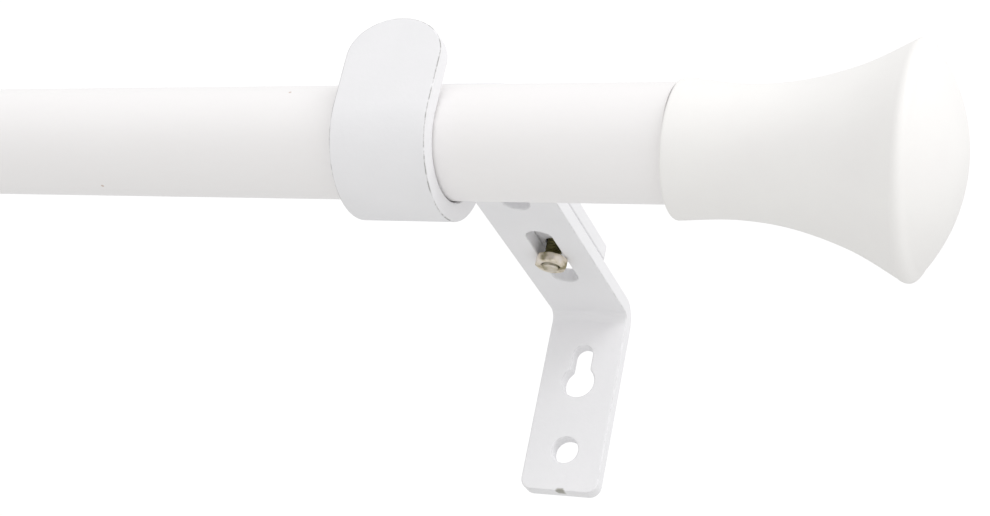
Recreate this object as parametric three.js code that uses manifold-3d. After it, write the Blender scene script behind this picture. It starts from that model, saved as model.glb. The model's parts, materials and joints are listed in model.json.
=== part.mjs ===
// Telescoping curtain rod with two projecting wall brackets, millimetres, +Z up.
//
// +X runs along the rod to its right-hand finial and +Y runs into the wall. The origin is on the wall face
// of the right-hand bracket's leg, halfway between its keyhole and its round screw hole.
//
// Each bracket is two flat bars: a wall strip, bent once into a leg and an arm, and a hook strip that lies on
// the arm and is rolled into an open hook for the rod. A screw and a nut clamp them through a slot, so the
// hook can be drawn out from the wall. The rod is a tube in a tube, with a push-in finial at each end.

import * as THREE from 'three';
import { mergeVertices } from 'three/addons/utils/BufferGeometryUtils.js';
import Module from 'manifold-3d';

// ---- Driving dimensions -------------------------------------------------------------------------------

// Rod
const OUTER_TUBE_DIAMETER = 19;
const OUTER_TUBE_WALL = 0.9;
const OUTER_TUBE_LENGTH = 640;
const INNER_TUBE_DIAMETER = 15.9;
const INNER_TUBE_WALL = 0.8;
const CLOSED_ROD_LENGTH = 711; // end of tube to end of tube, pushed together
const TELESCOPE_TRAVEL = 508;
const TELESCOPE_OVERLAP = 61; // tube left inside the other at full travel
const RUNNING_CLEARANCE = 0.08; // radial, tube and bush
const SEATED_CLEARANCE = 0.05; // radial, pieces pushed into each other

// Bushes of the telescope
const MOUTH_BUSH_LENGTH = 20;
const MOUTH_BUSH_RIM = 2;
const TAIL_BUSH_HEAD = 8;
const TAIL_BUSH_SPIGOT = 15;
const TAIL_BUSH_BORE_RADIUS = 5.2;

// Flat bar of the brackets
const STRIP_WIDTH = 16.8;
const STRIP_THICKNESS = 3.2;
const BEND_RADIUS = 2.2; // inside of every sharp bend
const CORNER_RADIUS = 2.4;

// Wall strip
const PROJECTION = 99; // wall face to rod axis
const LEG_HEIGHT = 43.2; // foot of the leg to the top of the arm
const ARM_RISE = 13.4; // rod axis up to the underside of the arm
const SLOT_WIDTH = 5.4;
const SLOT_WALL_MARGIN = 19; // wall face to the nearer slot
const SLOT_WEB = 9.1; // bar left between the two slots
const SLOT_END_MARGIN = 6.7; // bar left in front of the farther slot
const KEYHOLE_HEIGHT = 24.4; // foot of the leg to the round end's centre
const KEYHOLE_RADIUS = 3.5;
const KEYHOLE_SLOT_WIDTH = 4.3;
const KEYHOLE_SLOT_RISE = 6.1; // round end's centre to the slot's end centre
const LOWER_HOLE_HEIGHT = 9;
const LOWER_HOLE_RADIUS = 2.8;

// Hook strip
const SEAT_CLEARANCE = 0.2; // radial, hook and rod
const TONGUE_HEIGHT = 15.9; // rod axis up to the tongue's tip
const TONGUE_CROWN = 7; // rise of the tip's oval
const TAIL_MARGIN = 8.8; // clamp screw to the strip's end
const INWARD_TRAVEL = 4; // what the hook can move towards the wall
const TRAVEL_CLEARANCE = 0.3;
const SLIDE_GAP = 0.1; // between strips, and under the nut

// Clamp screw, lock washer and nut
const SCREW_DIAMETER = 3.5;
const SCREW_CLEARANCE = 0.25; // radial, screw and hole or washer
const THREAD_CLEARANCE = 0.05;
const SCREW_HEAD_RADIUS = 3.5;
const SCREW_HEAD_HEIGHT = 2.4;
const SCREW_TIP = 0.5; // beyond the nut
const SCREW_CHAMFER = 0.4;
const RECESS_WIDTH = 1;
const RECESS_LENGTH = 3.9;
const RECESS_DEPTH = 1.5;
const WASHER_RADIUS = 3.1;
const WASHER_THICKNESS = 0.9;
const WASHER_SPLIT = 0.8;
const NUT_ACROSS_FLATS = 6;
const NUT_HEIGHT = 2;
const NUT_CHAMFER = 0.35;

// Finial, measured from its small end
const FINIAL_STANDOFF = 46.5; // middle of the hook to the finial
const FINIAL_DROOP = 3; // degrees that the finial hangs low in its tube
const FINIAL_FLARE_LENGTH = 36.9;
const FINIAL_BASE_RADIUS = 11.1;
const FINIAL_WAIST_DROP = 0.7; // waist radius under the base radius
const FINIAL_RIM_RADIUS = 18.45;
const FINIAL_DOME_HEIGHT = 6.5;
const FINIAL_BASE_EDGE = 0.4;
const FINIAL_RIM_EDGE = 1;

// Finial stud and plug
const STUD_DIAMETER = 6;
const STUD_CHAMFER = 0.6;
const STUD_IN_FINIAL = 14;
const STUD_IN_PLUG = 14;
const PLUG_LENGTH = 18;
const PLUG_RIB_HEIGHT = 0.7; // at the tube's end
const PLUG_RIB_WIDTH = 1.2;
const PLUG_RIBS = 8;
const PLUG_SLIT_WIDTH = 1;
const PLUG_SLIT_DEPTH = 10;

const ROUND_STEPS = 48; // facets around the rod and the finials
const SMALL_ROUND_STEPS = 24; // facets around screws, nuts and plugs
const ARC_STEPS = 20; // facets along each bend of a strip
const HOLE_ARC_STEPS = 10; // facets along each round end of a hole

// ---- Sizes that follow --------------------------------------------------------------------------------

const outerTubeRadius = OUTER_TUBE_DIAMETER / 2;
const outerBoreRadius = outerTubeRadius - OUTER_TUBE_WALL;
const innerTubeRadius = INNER_TUBE_DIAMETER / 2;
const innerBoreRadius = innerTubeRadius - INNER_TUBE_WALL;
const screwRadius = SCREW_DIAMETER / 2;
const studRadius = STUD_DIAMETER / 2;
const halfStrip = STRIP_WIDTH / 2;
const outerBendRadius = BEND_RADIUS + STRIP_THICKNESS;

const lowerHoleTop = LOWER_HOLE_HEIGHT + LOWER_HOLE_RADIUS;
const keyholeBottom = KEYHOLE_HEIGHT - KEYHOLE_RADIUS;
const legFoot = -(lowerHoleTop + keyholeBottom) / 2;
const armTop = legFoot + LEG_HEIGHT;
const armUnderside = armTop - STRIP_THICKNESS;
const rodAxisZ = armUnderside - ARM_RISE;
const rodAxisY = -PROJECTION;

const seatRadius = outerTubeRadius + SEAT_CLEARANCE;
const hookRadius = seatRadius + STRIP_THICKNESS;
const hookUnderside = armTop + SLIDE_GAP;
const hookTop = hookUnderside + STRIP_THICKNESS;

const armLength = PROJECTION - hookRadius - BEND_RADIUS - INWARD_TRAVEL - TRAVEL_CLEARANCE;
const slotLength = (armLength - SLOT_WALL_MARGIN - SLOT_WEB - SLOT_END_MARGIN) / 2;
const rearSlotY = -SLOT_WALL_MARGIN - slotLength / 2;
const frontSlotY = rearSlotY - slotLength - SLOT_WEB;
const screwY = rearSlotY;

// A plug is gripped at its inner end only, so the finial on it hangs from there and touches the underside of
// the tube's end.
const droop = THREE.MathUtils.degToRad(FINIAL_DROOP);
const plugReach = PLUG_LENGTH * Math.cos(droop);
const hangDepth = PLUG_LENGTH * Math.sin(droop);
const tubeEndGap = (tubeRadius) => (tubeRadius - hangDepth) * Math.tan(droop) + SEATED_CLEARANCE;
const rightFinialX = FINIAL_STANDOFF;
const rightRodEndX = rightFinialX - tubeEndGap(outerTubeRadius);
const leftRodEndX = rightRodEndX - CLOSED_ROD_LENGTH;
const leftFinialX = leftRodEndX - tubeEndGap(innerTubeRadius);
const leftBracketX = leftFinialX + FINIAL_STANDOFF;
const outerMouthX = rightRodEndX - OUTER_TUBE_LENGTH;
const innerTubeLength = CLOSED_ROD_LENGTH - OUTER_TUBE_LENGTH + TELESCOPE_TRAVEL + TELESCOPE_OVERLAP;
const innerTailX = leftRodEndX + innerTubeLength;

// The left-hand hook carries the thinner tube, so its bracket is set higher to keep the rod level.
const leftBracketRise = outerTubeRadius - innerTubeRadius;

// ---- Materials ----------------------------------------------------------------------------------------

const finish = (color, roughness, metalness = 0) =>
  new THREE.MeshStandardMaterial({ color, roughness, metalness });

const tubeEnamel = finish('#f3efec', 0.35);
const bracketPowderCoat = finish('#eeeff2', 0.5);
const finialPaint = finish('#f4f1ef', 0.55);
const whitePlastic = finish('#e9e8e4', 0.5);
const yellowZinc = finish('#c2a878', 0.35, 0.9);
const springSteel = finish('#9a9a98', 0.4, 0.9);

// ---- Solids -------------------------------------------------------------------------------------------

const wasm = await Module();
wasm.setup();

const MARGIN = 1; // how far a cutter stands clear of what it cuts

/** A closed geometry as a solid that can be cut and joined. */
function solid(geometry) {
  const bare = geometry.clone();
  for (const name of Object.keys(bare.attributes)) {
    if (name !== 'position') bare.deleteAttribute(name);
  }
  const merged = mergeVertices(bare, 1e-5);
  return new wasm.Manifold(new wasm.Mesh({
    numProp: 3,
    vertProperties: new Float32Array(merged.attributes.position.array),
    triVerts: new Uint32Array(merged.index.array),
  }));
}

/** A solid back as a geometry with flat facets. */
function facets(body) {
  const mesh = body.getMesh();
  const geometry = new THREE.BufferGeometry();
  geometry.setAttribute('position', new THREE.BufferAttribute(mesh.vertProperties, 3));
  geometry.setIndex(new THREE.BufferAttribute(mesh.triVerts, 1));
  const flat = geometry.toNonIndexed();
  flat.computeVertexNormals();
  return flat;
}

const alongX = new THREE.Matrix4().makeBasis(
  new THREE.Vector3(0, 1, 0), new THREE.Vector3(0, 0, 1), new THREE.Vector3(1, 0, 0));
const alongMinusY = new THREE.Matrix4().makeBasis(
  new THREE.Vector3(1, 0, 0), new THREE.Vector3(0, 0, 1), new THREE.Vector3(0, -1, 0));

function extrude(shape, depth, curveSegments) {
  return new THREE.ExtrudeGeometry(shape, { depth, bevelEnabled: false, curveSegments });
}

/** A side outline in Y and Z, given the strip's width along X and centred on it. */
function bar(outline) {
  return solid(extrude(outline, STRIP_WIDTH, ARC_STEPS).translate(0, 0, -halfStrip).applyMatrix4(alongX));
}

/** A plan outline in X and Y, cut straight down from z = top to z = bottom. */
function cutDown(outline, bottom, top) {
  return solid(extrude(outline, top - bottom, HOLE_ARC_STEPS).translate(0, 0, bottom));
}

/** A front outline in X and Z, cut straight through in Y from front to back. */
function cutThrough(outline, front, back) {
  return solid(extrude(outline, back - front, HOLE_ARC_STEPS).translate(0, 0, -back).applyMatrix4(alongMinusY));
}

/** A slot with round ends along the outline's second axis. */
function slotOutline(centre, length, width) {
  const radius = width / 2;
  const reach = length / 2 - radius;
  const shape = new THREE.Shape();
  shape.absarc(0, centre + reach, radius, 0, Math.PI, false);
  shape.absarc(0, centre - reach, radius, Math.PI, 2 * Math.PI, false);
  return shape;
}

function circleOutline(centre, radius) {
  const shape = new THREE.Shape();
  shape.absarc(0, centre, radius, 0, Math.PI, false);
  shape.absarc(0, centre, radius, Math.PI, 2 * Math.PI, false);
  return shape;
}

/** What is cut off a bar's two corners at an end where its outline stops; side is +1 or -1. */
function cornerOutlines(end, side) {
  return [-1, 1].map((hand) => {
    const x = hand * halfStrip;
    const inX = x - hand * CORNER_RADIUS;
    const inEnd = end - side * CORNER_RADIUS;
    const startAngle = side > 0 ? Math.PI / 2 : -Math.PI / 2;
    const endAngle = hand > 0 ? 0 : side * Math.PI;
    const shape = new THREE.Shape();
    shape.moveTo(inX, end + side * MARGIN);
    shape.lineTo(inX, end);
    shape.absarc(inX, inEnd, CORNER_RADIUS, startAngle, endAngle, hand * side > 0);
    shape.lineTo(x + hand * MARGIN, inEnd);
    shape.lineTo(x + hand * MARGIN, end + side * MARGIN);
    return shape;
  });
}

/** A turned piece: a profile of [distance along X, radius] points, turned about the X axis. */
function turned(profile, steps = ROUND_STEPS) {
  const points = profile.map(([along, radius]) => new THREE.Vector2(radius, along));
  return new THREE.LatheGeometry(points, steps).rotateZ(-Math.PI / 2).rotateX(Math.PI / 2);
}

/** A turned piece standing on Z instead of lying on X. */
function turnedUpright(profile, steps = SMALL_ROUND_STEPS) {
  const points = profile.map(([height, radius]) => new THREE.Vector2(radius, height));
  return new THREE.LatheGeometry(points, steps).rotateX(Math.PI / 2);
}

/** A plain ring or tube between two places on X; the profile closes on itself. */
function tube(start, end, bore, radius) {
  return [[start, bore], [start, radius], [end, radius], [end, bore], [start, bore]];
}

// ---- Brackets -----------------------------------------------------------------------------------------

function wallStrip() {
  const bend = { y: -outerBendRadius, z: armTop - outerBendRadius };
  const outline = new THREE.Shape();
  outline.moveTo(0, legFoot);
  outline.lineTo(0, bend.z);
  outline.absarc(bend.y, bend.z, outerBendRadius, 0, Math.PI / 2, false);
  outline.lineTo(-armLength, armTop);
  outline.lineTo(-armLength, armUnderside);
  outline.absarc(bend.y, bend.z, BEND_RADIUS, Math.PI / 2, 0, true);
  outline.lineTo(-STRIP_THICKNESS, legFoot);
  outline.closePath();

  const keyholeZ = legFoot + KEYHOLE_HEIGHT;
  const keyholeSlotLength = KEYHOLE_SLOT_RISE + KEYHOLE_SLOT_WIDTH;
  const keyholeSlotZ = keyholeZ + KEYHOLE_SLOT_RISE / 2;
  const armCut = (shape) => cutDown(shape, armUnderside - MARGIN, armTop + MARGIN);
  const legCut = (shape) => cutThrough(shape, -STRIP_THICKNESS - MARGIN, MARGIN);

  return [
    ...[rearSlotY, frontSlotY].map((y) => armCut(slotOutline(y, slotLength, SLOT_WIDTH))),
    ...cornerOutlines(-armLength, -1).map(armCut),
    ...cornerOutlines(legFoot, -1).map(legCut),
    legCut(circleOutline(legFoot + LOWER_HOLE_HEIGHT, LOWER_HOLE_RADIUS)),
    legCut(circleOutline(keyholeZ, KEYHOLE_RADIUS)),
    legCut(slotOutline(keyholeSlotZ, keyholeSlotLength, KEYHOLE_SLOT_WIDTH)),
  ].reduce((body, cutter) => body.subtract(cutter), bar(outline));
}

function hookStrip() {
  const tailY = screwY + TAIL_MARGIN;
  const tipZ = rodAxisZ + TONGUE_HEIGHT;
  const bend = { y: rodAxisY + hookRadius + BEND_RADIUS, z: hookUnderside - BEND_RADIUS };
  const outline = new THREE.Shape();
  outline.moveTo(tailY, hookUnderside);
  outline.lineTo(tailY, hookTop);
  outline.absarc(bend.y, bend.z, outerBendRadius, Math.PI / 2, Math.PI, false);
  outline.absarc(rodAxisY, rodAxisZ, seatRadius, 0, -Math.PI, true);
  outline.lineTo(rodAxisY - seatRadius, tipZ);
  outline.lineTo(rodAxisY - hookRadius, tipZ);
  outline.absarc(rodAxisY, rodAxisZ, hookRadius, Math.PI, 2 * Math.PI, false);
  outline.absarc(bend.y, bend.z, BEND_RADIUS, Math.PI, Math.PI / 2, true);
  outline.closePath();

  const crownZ = tipZ - TONGUE_CROWN;
  const besideTip = new THREE.Shape();
  besideTip.moveTo(-halfStrip - MARGIN, crownZ);
  besideTip.lineTo(-halfStrip, crownZ);
  besideTip.absellipse(0, crownZ, halfStrip, TONGUE_CROWN, Math.PI, 0, true);
  besideTip.lineTo(halfStrip + MARGIN, crownZ);
  besideTip.lineTo(halfStrip + MARGIN, tipZ + MARGIN);
  besideTip.lineTo(-halfStrip - MARGIN, tipZ + MARGIN);
  besideTip.closePath();

  const tailCut = (shape) => cutDown(shape, hookUnderside - MARGIN, hookTop + MARGIN);
  return [
    cutThrough(besideTip, rodAxisY - hookRadius - MARGIN, rodAxisY - seatRadius + MARGIN),
    tailCut(circleOutline(screwY, screwRadius + SCREW_CLEARANCE)),
    ...cornerOutlines(tailY, 1).map(tailCut),
  ].reduce((body, cutter) => body.subtract(cutter), bar(outline));
}

// Heights of the clamp stack, from the nut up to the screw's head.
const nutTop = armUnderside - SLIDE_GAP;
const nutBottom = nutTop - NUT_HEIGHT;
const washerBottom = hookTop + SLIDE_GAP / 2;
const headBottom = washerBottom + WASHER_THICKNESS + SLIDE_GAP / 2;

/** Pan-head screw with a cross recess, standing on the origin of X and Y. */
function clampScrew() {
  const tip = nutBottom - SCREW_TIP;
  const headTop = headBottom + SCREW_HEAD_HEIGHT;
  const wallTop = headBottom + SCREW_HEAD_HEIGHT / 2;
  const crown = new THREE.EllipseCurve(0, wallTop, SCREW_HEAD_RADIUS, headTop - wallTop, 0, Math.PI / 2);
  const body = solid(turnedUpright([
    [tip, 0],
    [tip, screwRadius - SCREW_CHAMFER],
    [tip + SCREW_CHAMFER, screwRadius],
    [headBottom, screwRadius],
    [headBottom, SCREW_HEAD_RADIUS],
    ...crown.getPoints(4).slice(0, -1).map((point) => [point.y, point.x]),
    [headTop, 0],
  ]));
  const recess = (width, length) => solid(new THREE.BoxGeometry(width, length, 2 * RECESS_DEPTH))
    .translate([0, 0, headTop]);
  return body.subtract(recess(RECESS_WIDTH, RECESS_LENGTH)).subtract(recess(RECESS_LENGTH, RECESS_WIDTH));
}

function lockWasher() {
  const bore = screwRadius + SCREW_CLEARANCE;
  const outerAngle = WASHER_SPLIT / 2 / WASHER_RADIUS;
  const innerAngle = WASHER_SPLIT / 2 / bore;
  const ring = new THREE.Shape();
  ring.absarc(0, 0, WASHER_RADIUS, outerAngle, 2 * Math.PI - outerAngle, false);
  ring.absarc(0, 0, bore, 2 * Math.PI - innerAngle, innerAngle, true);
  return extrude(ring, WASHER_THICKNESS, ARC_STEPS).translate(0, 0, washerBottom);
}

function clampNut() {
  const cornerRadius = NUT_ACROSS_FLATS / Math.sqrt(3);
  const flatRadius = NUT_ACROSS_FLATS / 2;
  const hexagon = new THREE.CylinderGeometry(cornerRadius, cornerRadius, NUT_HEIGHT, 6)
    .rotateY(Math.PI / 6)
    .rotateX(Math.PI / 2)
    .translate(0, 0, (nutTop + nutBottom) / 2);
  const chamfered = turnedUpright([
    [nutBottom, 0],
    [nutBottom, flatRadius],
    [nutBottom + NUT_CHAMFER, cornerRadius],
    [nutTop - NUT_CHAMFER, cornerRadius],
    [nutTop, flatRadius],
    [nutTop, 0],
  ]);
  const bore = new THREE.CylinderGeometry(
    screwRadius + THREAD_CLEARANCE, screwRadius + THREAD_CLEARANCE, NUT_HEIGHT + 2 * MARGIN, SMALL_ROUND_STEPS)
    .rotateX(Math.PI / 2)
    .translate(0, 0, (nutTop + nutBottom) / 2);
  return solid(hexagon).intersect(solid(chamfered)).subtract(solid(bore));
}

// ---- Rod ----------------------------------------------------------------------------------------------

function mouthBush() {
  const bore = innerTubeRadius + RUNNING_CLEARANCE;
  return turned([
    [-MOUTH_BUSH_RIM, bore],
    [-MOUTH_BUSH_RIM, outerTubeRadius],
    [0, outerTubeRadius],
    [0, outerBoreRadius - SEATED_CLEARANCE],
    [MOUTH_BUSH_LENGTH, outerBoreRadius - SEATED_CLEARANCE],
    [MOUTH_BUSH_LENGTH, bore],
    [-MOUTH_BUSH_RIM, bore],
  ]);
}

function tailBush() {
  const spigot = innerBoreRadius - SEATED_CLEARANCE;
  return turned([
    [-TAIL_BUSH_SPIGOT, TAIL_BUSH_BORE_RADIUS],
    [-TAIL_BUSH_SPIGOT, spigot],
    [0, spigot],
    [0, outerBoreRadius - RUNNING_CLEARANCE],
    [TAIL_BUSH_HEAD, outerBoreRadius - RUNNING_CLEARANCE],
    [TAIL_BUSH_HEAD, TAIL_BUSH_BORE_RADIUS],
    [-TAIL_BUSH_SPIGOT, TAIL_BUSH_BORE_RADIUS],
  ]);
}

/** A trumpet with a shallow domed face; its small end is at X = 0 and it widens towards +X. */
function finial() {
  const waistRadius = FINIAL_BASE_RADIUS - FINIAL_WAIST_DROP;
  const stop = FINIAL_FLARE_LENGTH - FINIAL_RIM_EDGE;
  const rim = FINIAL_RIM_RADIUS - waistRadius;

  // A nearly straight neck that opens out ever faster towards the rim.
  const flare = new THREE.SplineCurve([
    new THREE.Vector2(FINIAL_BASE_EDGE, FINIAL_BASE_RADIUS),
    new THREE.Vector2(0.26 * FINIAL_FLARE_LENGTH, waistRadius),
    new THREE.Vector2(0.5 * FINIAL_FLARE_LENGTH, waistRadius + 0.1 * rim),
    new THREE.Vector2(0.75 * FINIAL_FLARE_LENGTH, waistRadius + 0.43 * rim),
    new THREE.Vector2(stop, FINIAL_RIM_RADIUS - FINIAL_RIM_EDGE / 2),
  ]);
  const baseEdge = new THREE.EllipseCurve(
    FINIAL_BASE_EDGE, FINIAL_BASE_RADIUS - FINIAL_BASE_EDGE,
    FINIAL_BASE_EDGE, FINIAL_BASE_EDGE, Math.PI, Math.PI / 2, true);
  const rimEdge = new THREE.QuadraticBezierCurve(
    new THREE.Vector2(stop, FINIAL_RIM_RADIUS - FINIAL_RIM_EDGE / 2),
    new THREE.Vector2(FINIAL_FLARE_LENGTH, FINIAL_RIM_RADIUS + FINIAL_RIM_EDGE / 4),
    new THREE.Vector2(FINIAL_FLARE_LENGTH + FINIAL_RIM_EDGE / 2, FINIAL_RIM_RADIUS - FINIAL_RIM_EDGE));
  const faceStart = FINIAL_FLARE_LENGTH + FINIAL_RIM_EDGE / 2;
  const faceRadius = FINIAL_RIM_RADIUS - FINIAL_RIM_EDGE;
  const faceRise = FINIAL_DOME_HEIGHT - FINIAL_RIM_EDGE / 2;
  const ball = (faceRadius ** 2 + faceRise ** 2) / (2 * faceRise);
  const face = new THREE.EllipseCurve(
    faceStart + faceRise - ball, 0, ball, ball, Math.asin(faceRadius / ball), 0, true);

  const along = (curve, steps) => curve.getPoints(steps).slice(1).map((point) => [point.x, point.y]);
  const profile = [
    [STUD_IN_FINIAL, 0],
    [STUD_IN_FINIAL, studRadius + SEATED_CLEARANCE],
    [0, studRadius + SEATED_CLEARANCE],
    [0, FINIAL_BASE_RADIUS - FINIAL_BASE_EDGE],
    ...along(baseEdge, 2),
    ...along(flare, 10),
    ...along(rimEdge, 2),
    ...along(face, 5),
  ];
  profile[profile.length - 1][1] = 0;
  return turned(profile);
}

/** Threaded stud; X = 0 is the finial's small end, where it leaves the finial. */
function finialStud() {
  const outer = STUD_IN_FINIAL - SEATED_CLEARANCE;
  return turned([
    [-STUD_IN_PLUG, 0],
    [-STUD_IN_PLUG, studRadius - STUD_CHAMFER],
    [-STUD_IN_PLUG + STUD_CHAMFER, studRadius],
    [outer - STUD_CHAMFER, studRadius],
    [outer, studRadius - STUD_CHAMFER],
    [outer, 0],
  ], SMALL_ROUND_STEPS);
}

/**
 * Ribbed plug; X = 0 is its inner end, slit so that the stud can spread it in the tube. It tapers by the
 * droop towards the finial, so its underside lies along the tube's wall.
 */
function finialPlug(boreRadius) {
  const end = PLUG_LENGTH - SEATED_CLEARANCE;
  const grip = boreRadius - SEATED_CLEARANCE;
  const mouth = grip - end * Math.tan(droop);
  const core = mouth - PLUG_RIB_HEIGHT;
  const envelope = solid(turned([[0, 0], [0, grip], [end, mouth], [end, 0]]));
  const ribs = Array.from({ length: PLUG_RIBS }, (_, index) => {
    const box = new THREE.BoxGeometry(end + 2 * MARGIN, PLUG_RIB_WIDTH, grip - core / 2);
    box.translate(end / 2, 0, (grip + core / 2) / 2);
    return solid(box.rotateX((2 * Math.PI * index) / PLUG_RIBS));
  });
  const slits = [1, 5].map((half) => {
    const box = new THREE.BoxGeometry(2 * PLUG_SLIT_DEPTH, PLUG_SLIT_WIDTH, 3 * grip);
    return solid(box.rotateX((Math.PI * half) / PLUG_RIBS));
  });
  const bore = solid(turned([
    [-MARGIN, 0],
    [-MARGIN, studRadius + SEATED_CLEARANCE],
    [end + MARGIN, studRadius + SEATED_CLEARANCE],
    [end + MARGIN, 0],
  ], SMALL_ROUND_STEPS));
  const barrel = solid(turned([[0, 0], [0, core], [end, core], [end, 0]]));
  const whole = ribs.reduce((joined, piece) => joined.add(piece), barrel).intersect(envelope);
  return [bore, ...slits].reduce((body, cutter) => body.subtract(cutter), whole);
}

// ---- Assembly -----------------------------------------------------------------------------------------

const rodSet = new THREE.Group();

function add(parent, name, shape, material, x = 0, y = 0, z = 0) {
  const geometry = shape.isBufferGeometry ? shape : facets(shape);
  const mesh = new THREE.Mesh(geometry, material);
  mesh.name = name;
  mesh.position.set(x, y, z);
  parent.add(mesh);
}

const brackets = [
  { side: 'right', x: 0, rise: 0 },
  { side: 'left', x: leftBracketX, rise: leftBracketRise },
];
for (const { side, x, rise } of brackets) {
  const bracket = new THREE.Group();
  bracket.position.set(x, 0, rise);
  add(bracket, `${side}_wall_strip`, wallStrip(), bracketPowderCoat);
  add(bracket, `${side}_hook_strip`, hookStrip(), bracketPowderCoat);
  add(bracket, `${side}_clamp_screw`, clampScrew(), yellowZinc, 0, screwY);
  add(bracket, `${side}_lock_washer`, lockWasher(), springSteel, 0, screwY);
  add(bracket, `${side}_clamp_nut`, clampNut(), yellowZinc, 0, screwY);
  rodSet.add(bracket);
}

const rod = new THREE.Group();
rod.position.set(0, rodAxisY, rodAxisZ);
const outerTube = turned(tube(outerMouthX, rightRodEndX, outerBoreRadius, outerTubeRadius));
const innerTube = turned(tube(leftRodEndX, innerTailX, innerBoreRadius, innerTubeRadius));
add(rod, 'outer_tube', outerTube, tubeEnamel);
add(rod, 'inner_tube', innerTube, tubeEnamel);
add(rod, 'mouth_bush', mouthBush(), whitePlastic, outerMouthX - SEATED_CLEARANCE);
add(rod, 'tail_bush', tailBush(), whitePlastic, innerTailX + SEATED_CLEARANCE);
rodSet.add(rod);

const ends = [
  { side: 'right', x: rightFinialX - plugReach, turn: 0, bore: outerBoreRadius },
  { side: 'left', x: leftFinialX + plugReach, turn: Math.PI, bore: innerBoreRadius },
];
for (const { side, x, turn, bore } of ends) {
  const end = new THREE.Group();
  end.position.set(x, rodAxisY, rodAxisZ);
  end.rotation.set(0, droop, turn, 'ZYX');
  add(end, `${side}_finial`, finial(), finialPaint, PLUG_LENGTH);
  add(end, `${side}_finial_stud`, finialStud(), springSteel, PLUG_LENGTH);
  add(end, `${side}_finial_plug`, finialPlug(bore), whitePlastic);
  rodSet.add(end);
}

export default rodSet;
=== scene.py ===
import json
import math

import bmesh
import bpy
import numpy as np
from mathutils import Euler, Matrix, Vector


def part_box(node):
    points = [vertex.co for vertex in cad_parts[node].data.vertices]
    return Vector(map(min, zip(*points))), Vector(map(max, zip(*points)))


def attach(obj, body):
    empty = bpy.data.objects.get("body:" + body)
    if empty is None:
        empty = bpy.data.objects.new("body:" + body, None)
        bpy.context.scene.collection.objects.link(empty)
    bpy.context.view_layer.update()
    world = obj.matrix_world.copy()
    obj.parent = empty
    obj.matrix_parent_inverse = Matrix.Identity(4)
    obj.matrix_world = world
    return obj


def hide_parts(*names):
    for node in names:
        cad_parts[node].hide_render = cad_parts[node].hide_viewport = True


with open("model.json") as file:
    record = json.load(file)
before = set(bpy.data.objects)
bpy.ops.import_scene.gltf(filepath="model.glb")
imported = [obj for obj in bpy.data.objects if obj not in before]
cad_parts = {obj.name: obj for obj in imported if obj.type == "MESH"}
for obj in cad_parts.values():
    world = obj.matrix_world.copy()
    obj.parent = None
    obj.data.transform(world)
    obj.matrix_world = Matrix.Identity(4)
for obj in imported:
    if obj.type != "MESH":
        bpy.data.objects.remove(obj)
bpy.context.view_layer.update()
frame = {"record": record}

# A telescoping curtain rod in two wall brackets. Shapes are worked out in millimetres, in the frame of the
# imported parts: +X along the rod to the right-hand finial, +Y into the wall, +Z up.

MM = 0.001

# ---- Sizes, in millimetres ----------------------------------------------------------------------------

# Flat bar of the brackets
BAR = 3.2  # thickness
BEND_RADIUS = 2.2  # inside
BAR_CORNER = 2.4
COATED_EDGE = 0.32  # how far the coat rounds a sheared edge
EDGE_SUPPORT = 0.22  # flat ring beside each rounded edge
EDGE_WEAR = (0, 0, 0.1, 1, 0.6, 0.1, 0, 0)  # how thin the coat is across an edge, from face to side
WEAR_FADE = 8  # over which the coat goes from thick to thin along a hook's edges
WALL_BAR_WEAR = 0.3
HOOK_BAR_WEAR = 1
HANGING_MARK = (0.6, -0.3)  # where the bare spot is, across and along the foot
HANGING_MARK_REACH = 1.6
SLOT_WIDTH = 5.4
SLOT_WALL_MARGIN = 19
SLOT_WEB = 9.1
SLOT_END_MARGIN = 6.7
KEYHOLE_HEIGHT = 24.4
KEYHOLE_RADIUS = 3.5
KEYHOLE_SLOT_RADIUS = 2.15
KEYHOLE_RISE = 6.1
KEYHOLE_SHOULDER = 1.1  # rounding where the slot leaves the round end
LOWER_HOLE_HEIGHT = 9
LOWER_HOLE_RADIUS = 2.8
TONGUE_HEIGHT = 15.9
TONGUE_CROWN = 7
CLAMP_HOLE_RADIUS = 2

# Clamp screw, washer and nut
SCREW_RADIUS = 1.75
SCREW_PITCH = 0.6
SCREW_THREAD_DEPTH = 0.32
HEAD_HEIGHT = 2.4
RECESS_DEPTH = 1.5
RECESS_REACH = 1.95
RECESS_HALF_WIDTH = 0.5
RECESS_WALL = 0.22  # over which its walls go down
RECESS_TAPER = 0.45  # share of its depth lost at the ends of the cross
SCREW_CHAMFER = 0.35
HEAD_EDGE = 0.2
THREAD_RUNOUT = 1.2
TIP_SHADE = 0.2  # share of the shank's painted shade that is on the screw's end
NUT_BORE_RADIUS = 1.8
NUT_COUNTERSINK = 0.3
NUT_FACE_MARGIN = 0.15
NUT_CORNER_ROUND = 0.12
NUT_CHAMFER = math.radians(30)
NUT_EDGE = 0.06
WASHER_GAP = 0.8
WASHER_SPRING = 0.12
WASHER_EDGE = 0.12

# Rod
TUBE_WALL = 0.9
EXTENSION_WALL = 0.8
CUT_EDGE = 0.18  # rounding of a sawn and deburred edge
BUSH_EDGE = 0.35
BUSH_PRESS_FIT = 0.05
BUSH_SLIDE_FIT = 0.08
MOUTH_BUSH_BORE = 8.03
TAIL_BUSH_BORE = 5.2
MOUTH_BUSH_RIM = 2
TAIL_BUSH_HEAD = 8

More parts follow.
